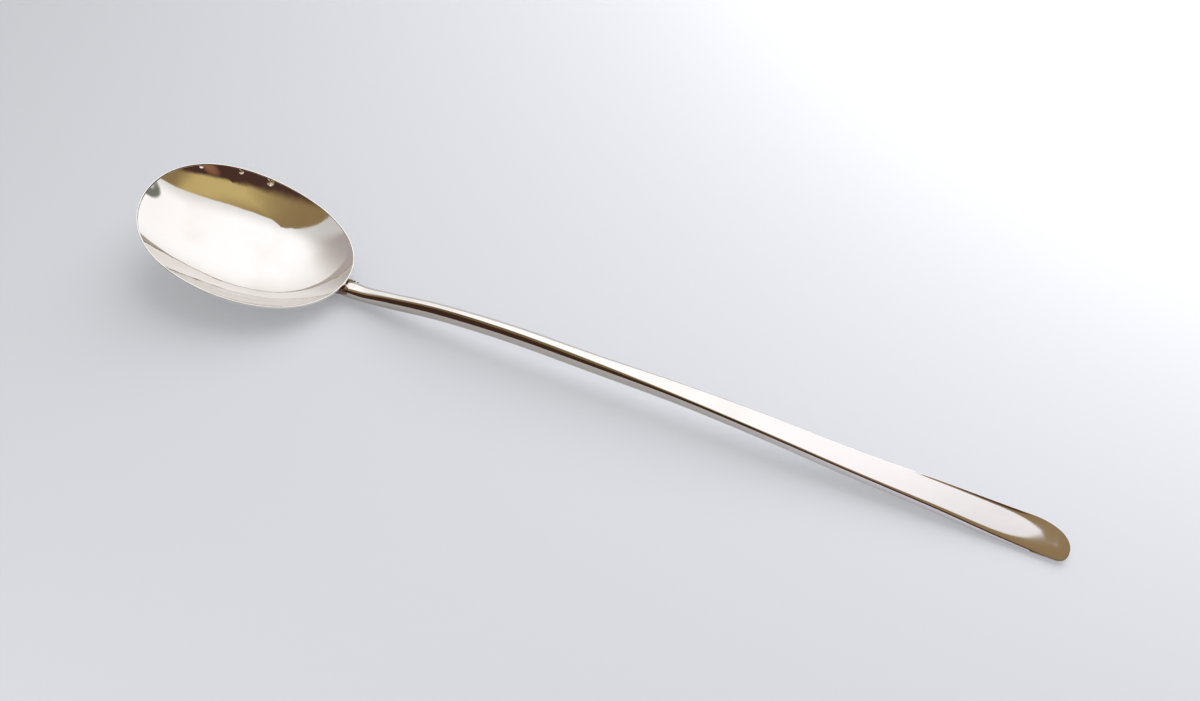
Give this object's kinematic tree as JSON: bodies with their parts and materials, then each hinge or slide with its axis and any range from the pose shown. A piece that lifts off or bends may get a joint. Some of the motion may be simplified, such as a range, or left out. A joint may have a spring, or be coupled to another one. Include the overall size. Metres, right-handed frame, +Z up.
{
  "type": "jam spoon",
  "caption": "Slender silver jam spoon: a deep oval bowl raised from sheet, soldered to a long forged stem that broadens to a flat, slightly hollowed and up-turned end.",
  "frame": {"origin": "on the table, below the middle of the spoon's length and width", "axes": "+X from the bowl's front lip to the end of the stem, +Z up out of the open bowl"},
  "size_m": [0.175, 0.0282, 0.0127],
  "materials": {
    "silver": "polished sterling silver with faint hammer marks and fine scratches",
    "silver_solder": "hard silver solder, bright and a little yellow, with fire stain along its edge"
  },
  "bodies": {
    "root": {"bowl": "silver", "stem": "silver", "solder_joint": "silver_solder"}
  },
  "joints": []
}
